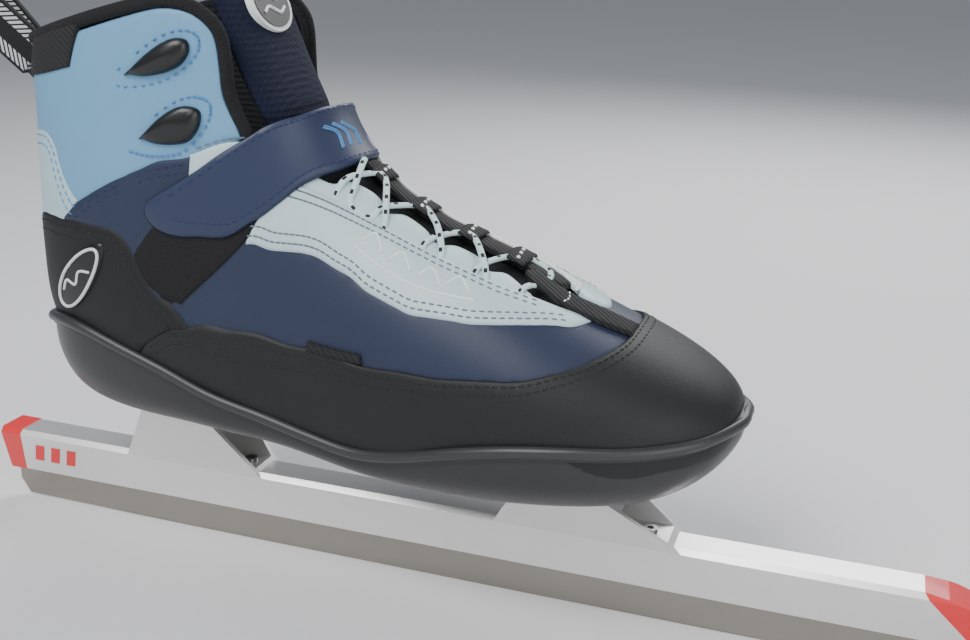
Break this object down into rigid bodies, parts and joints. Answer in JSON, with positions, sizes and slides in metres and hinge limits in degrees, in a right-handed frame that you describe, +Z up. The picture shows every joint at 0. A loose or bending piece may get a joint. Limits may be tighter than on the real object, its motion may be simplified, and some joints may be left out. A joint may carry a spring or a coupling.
{
  "type": "speed skate",
  "caption": "Long-track speed skate: laced low boot with ankle strap and cuff on a carbon sole, cup mounts and a tube holding a long thin runner.",
  "frame": {"origin": "middle of the runner's ice edge, in the blade's plane", "axes": "+X along the blade towards the toe, +Y to the inner side of this right-foot skate, +Z up"},
  "size_m": [0.4154, 0.0948, 0.2413],
  "materials": {
    "shell_black": "matte grained synthetic leather",
    "tendon_pale": "smooth pale synthetic leather",
    "cuff_blue": "smooth sky-blue synthetic leather",
    "binding_black": "black knitted edge binding",
    "band_navy": "navy synthetic leather",
    "eyestay_ice": "ice-blue synthetic leather",
    "facing_black": "black webbing strip",
    "stiffener": "moulded sheet",
    "backing": "woven backing",
    "foam": "foam padding",
    "lining": "black spacer mesh",
    "board": "fibre board",
    "footbed": "brushed textile",
    "strap_navy": "glossy navy synthetic leather",
    "hook_tape": "hook and loop tape",
    "tongue_mesh": "navy mesh over foam",
    "badge": "moulded trim",
    "label_black": "woven tape",
    "loops": "black webbing with white stitches",
    "lace": "round braided cord",
    "webbing": "black webbing with pale edges",
    "sole": "satin carbon-filled shell",
    "cup": "bead-blasted",
    "tube": "bright anodised",
    "red_cap": "moulded red plastic",
    "steel": "ground hardened steel",
    "bolt": "plated"
  },
  "bodies": {
    "boot": {"toe_panel": "shell_black", "heel_panel": "shell_black", "tendon_panel": "tendon_pale", "cuff_panel": "cuff_blue", "collar_binding": "binding_black", "strap_anchor": "binding_black", "ankle_band_lateral": "band_navy", "ankle_band_medial": "band_navy", "vamp_panel": "band_navy", "eyestay_lateral": "eyestay_ice", "eyestay_medial": "eyestay_ice", "lace_facing_lateral": "eyestay_ice", "lace_facing_medial": "facing_black", "toe_box_stiffener": "stiffener", "heel_counter": "stiffener", "vamp_backing": "backing", "ankle_foam": "foam", "lining": "lining", "insole_board": "board", "footbed": "footbed", "loop_patch": "hook_tape", "tongue_lower": "tongue_mesh", "heel_badge_lateral": "badge", "heel_badge_medial": "badge", "side_label": "badge", "collar_label": "label_black", "toe_ribbon": "label_black", "lace_hook_lateral_upper": "label_black", "lace_hook_lateral_lower": "label_black", "lace_hook_medial_upper": "label_black", "lace_hook_medial_lower": "label_black", "medial_loop_1": "loops", "medial_loop_2": "loops", "medial_loop_3": "loops", "medial_loop_4": "loops", "lace": "lace", "pull_loop_anchor": "webbing", "outsole": "sole", "rear_cup": "cup", "front_cup": "cup", "blade_tube": "tube", "front_tube_cap": "red_cap", "rear_tube_cap": "red_cap", "runner_blade": "steel", "rear_cup_bolt_1": "bolt", "rear_cup_bolt_2": "bolt", "front_cup_bolt_1": "bolt", "front_cup_bolt_2": "bolt", "rear_tube_screw_1": "bolt", "rear_tube_screw_2": "bolt", "front_tube_screw_1": "bolt", "front_tube_screw_2": "bolt", "rear_thread_plate": "bolt", "front_thread_plate": "bolt"},
    "strap": {"instep_strap": "strap_navy", "strap_hook_patch": "hook_tape"},
    "tongue": {"tongue_upper": "tongue_mesh", "tongue_badge": "badge"},
    "pull": {"pull_loop": "webbing"}
  },
  "joints": [
    {"name": "strap_hinge", "type": "hinge", "parent": "boot", "child": "strap", "pos_m": [-0.06739, 0.03462, 0.1572], "axis": [-0.5928, 0.05, 0.8038], "range_deg": [0, 100]},
    {"name": "tongue_hinge", "type": "hinge", "parent": "boot", "child": "tongue", "pos_m": [-0.056, 0, 0.171], "axis": [0, 1, 0], "range_deg": [0, 12]},
    {"name": "pull_loop_hinge", "type": "hinge", "parent": "boot", "child": "pull", "pos_m": [-0.174, 0, 0.192], "axis": [0.6606, 0, 0.7507], "range_deg": [-25, 25], "stiffness_Nm_per_rad": 0.01}
  ]
}
